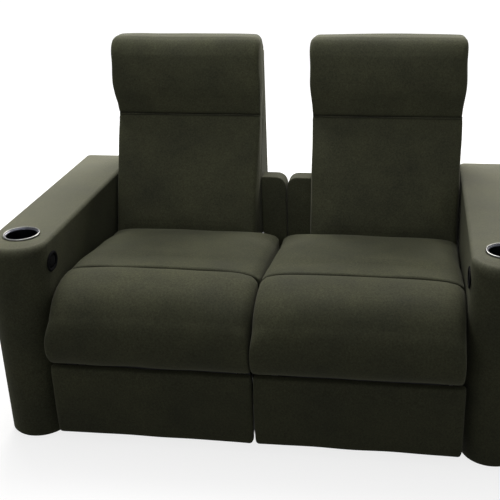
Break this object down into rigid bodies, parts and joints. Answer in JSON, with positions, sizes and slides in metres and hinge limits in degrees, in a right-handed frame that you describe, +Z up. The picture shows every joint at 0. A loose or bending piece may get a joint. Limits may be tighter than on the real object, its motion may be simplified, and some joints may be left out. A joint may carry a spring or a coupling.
{
  "type": "reclining sofa",
  "caption": "Home-cinema style reclining sofa with tall padded backs, padded footrests that swing out on links, wide arms with cup wells and gliding seats.",
  "frame": {"origin": "on the floor, under the middle of the sofa's box", "axes": "+X to the right seat's arm as seen from the front, +Y to the rear, +Z up"},
  "size_m": [1.54, 0.9622, 1.0702],
  "materials": {
    "upholstery": "brushed suede-like pile, dark olive grey",
    "timber": "plain plywood",
    "painted_steel": "black powder coat",
    "bare_steel": "zinc plated",
    "cup_metal": "brushed rim, dark inside",
    "black_plastic": "fine grain",
    "webbing": "woven strap",
    "glide_plastic": "moulded"
  },
  "bodies": {
    "base": {"module_bolt_front": "bare_steel", "module_bolt_rear": "bare_steel", "left_arm_frame": "timber", "left_arm_cover": "upholstery", "left_cup_holder": "cup_metal", "left_release_bezel": "black_plastic", "left_inner_side_panel": "timber", "left_rear_post_cover": "upholstery", "left_front_stretcher": "painted_steel", "left_rear_base_panel": "timber", "left_inner_glide_track": "bare_steel", "left_outer_glide_track": "bare_steel", "left_floor_glides": "glide_plastic", "right_arm_frame": "timber", "right_arm_cover": "upholstery", "right_cup_holder": "cup_metal", "right_release_bezel": "black_plastic", "right_inner_side_panel": "timber", "right_rear_post_cover": "upholstery", "right_front_stretcher": "painted_steel", "right_rear_base_panel": "timber", "right_inner_glide_track": "bare_steel", "right_outer_glide_track": "bare_steel", "right_floor_glides": "glide_plastic"},
    "left_seat": {"left_seat_chassis": "painted_steel", "left_seat_frame": "timber", "left_seat_webbing": "webbing", "left_seat_cushion": "upholstery", "left_front_roll": "upholstery"},
    "left_back": {"left_back_frame": "timber", "left_back_cover": "upholstery", "left_back_brackets": "painted_steel", "left_lumbar_pad": "upholstery", "left_head_pad": "upholstery"},
    "left_drive_link": {"left_drive_links": "painted_steel"},
    "left_follower_link": {"left_follower_links": "painted_steel"},
    "left_long_link": {"left_long_links": "painted_steel"},
    "left_control_rod": {"left_control_rods": "painted_steel"},
    "left_footrest": {"left_footrest_brackets": "painted_steel", "left_footrest_board": "timber", "left_footrest_pad": "upholstery"},
    "left_release": {"left_release_lever": "black_plastic"},
    "right_seat": {"right_seat_chassis": "painted_steel", "right_seat_frame": "timber", "right_seat_webbing": "webbing", "right_seat_cushion": "upholstery", "right_front_roll": "upholstery"},
    "right_back": {"right_back_frame": "timber", "right_back_cover": "upholstery", "right_back_brackets": "painted_steel", "right_lumbar_pad": "upholstery", "right_head_pad": "upholstery"},
    "right_drive_link": {"right_drive_links": "painted_steel"},
    "right_follower_link": {"right_follower_links": "painted_steel"},
    "right_long_link": {"right_long_links": "painted_steel"},
    "right_control_rod": {"right_control_rods": "painted_steel"},
    "right_footrest": {"right_footrest_brackets": "painted_steel", "right_footrest_board": "timber", "right_footrest_pad": "upholstery"},
    "right_release": {"right_release_lever": "black_plastic"}
  },
  "joints": [
    {"name": "left_seat_glide", "type": "slide", "parent": "base", "child": "left_seat", "axis": [0, -1, 0], "range_m": [0, 0.09]},
    {"name": "left_recline", "type": "hinge", "parent": "left_seat", "child": "left_back", "pos_m": [-0.304, 0.241, 0.316], "axis": [-1, 0, 0], "range_deg": [0, 35]},
    {"name": "left_footrest_swing", "type": "hinge", "parent": "left_seat", "child": "left_drive_link", "pos_m": [-0.304, -0.319, 0.258], "axis": [-1, 0, 0], "range_deg": [0, 100]},
    {"name": "left_follower_pivot", "type": "hinge", "parent": "left_seat", "child": "left_follower_link", "pos_m": [-0.304, -0.282, 0.232], "axis": [-1, 0, 0], "range_deg": [0, 100]},
    {"name": "left_long_link_pivot", "type": "hinge", "parent": "left_drive_link", "child": "left_long_link", "pos_m": [-0.304, -0.26982, 0.07447], "axis": [-1, 0, 0], "range_deg": [-100, 0]},
    {"name": "left_control_rod_pivot", "type": "hinge", "parent": "left_drive_link", "child": "left_control_rod", "pos_m": [-0.304, -0.26982, 0.11247], "axis": [-1, 0, 0], "range_deg": [-100, 0]},
    {"name": "left_footrest_pivot", "type": "hinge", "parent": "left_long_link", "child": "left_footrest", "pos_m": [-0.304, -0.38482, 0.21247], "axis": [-1, 0, 0], "range_deg": [0, 100]},
    {"name": "left_release_press", "type": "hinge", "parent": "base", "child": "left_release", "pos_m": [-0.5915, -0.34, 0.548], "axis": [0, 0, 1], "range_deg": [0, 12], "stiffness_Nm_per_rad": 0.6, "springref_deg": -2.86},
    {"name": "right_seat_glide", "type": "slide", "parent": "base", "child": "right_seat", "axis": [0, -1, 0], "range_m": [0, 0.09]},
    {"name": "right_recline", "type": "hinge", "parent": "right_seat", "child": "right_back", "pos_m": [0.304, 0.241, 0.316], "axis": [-1, 0, 0], "range_deg": [0, 35]},
    {"name": "right_footrest_swing", "type": "hinge", "parent": "right_seat", "child": "right_drive_link", "pos_m": [0.304, -0.319, 0.258], "axis": [-1, 0, 0], "range_deg": [0, 100]},
    {"name": "right_follower_pivot", "type": "hinge", "parent": "right_seat", "child": "right_follower_link", "pos_m": [0.304, -0.282, 0.232], "axis": [-1, 0, 0], "range_deg": [0, 100]},
    {"name": "right_long_link_pivot", "type": "hinge", "parent": "right_drive_link", "child": "right_long_link", "pos_m": [0.304, -0.26982, 0.07447], "axis": [-1, 0, 0], "range_deg": [-100, 0]},
    {"name": "right_control_rod_pivot", "type": "hinge", "parent": "right_drive_link", "child": "right_control_rod", "pos_m": [0.304, -0.26982, 0.11247], "axis": [-1, 0, 0], "range_deg": [-100, 0]},
    {"name": "right_footrest_pivot", "type": "hinge", "parent": "right_long_link", "child": "right_footrest", "pos_m": [0.304, -0.38482, 0.21247], "axis": [-1, 0, 0], "range_deg": [0, 100]},
    {"name": "right_release_press", "type": "hinge", "parent": "base", "child": "right_release", "pos_m": [0.5915, -0.34, 0.548], "axis": [0, 0, -1], "range_deg": [0, 12], "stiffness_Nm_per_rad": 0.6, "springref_deg": -2.86}
  ],
  "couplings": [
    {"joint": "left_recline", "follows": "left_seat_glide", "rad_per_m": 6.7874},
    {"joint": "left_follower_pivot", "follows": "left_footrest_swing", "ratio": 1},
    {"joint": "left_long_link_pivot", "follows": "left_footrest_swing", "ratio": -1},
    {"joint": "left_control_rod_pivot", "follows": "left_footrest_swing", "ratio": -1},
    {"joint": "left_footrest_pivot", "follows": "left_footrest_swing", "ratio": 1},
    {"joint": "right_recline", "follows": "right_seat_glide", "rad_per_m": 6.7874},
    {"joint": "right_follower_pivot", "follows": "right_footrest_swing", "ratio": 1},
    {"joint": "right_long_link_pivot", "follows": "right_footrest_swing", "ratio": -1},
    {"joint": "right_control_rod_pivot", "follows": "right_footrest_swing", "ratio": -1},
    {"joint": "right_footrest_pivot", "follows": "right_footrest_swing", "ratio": 1}
  ]
}
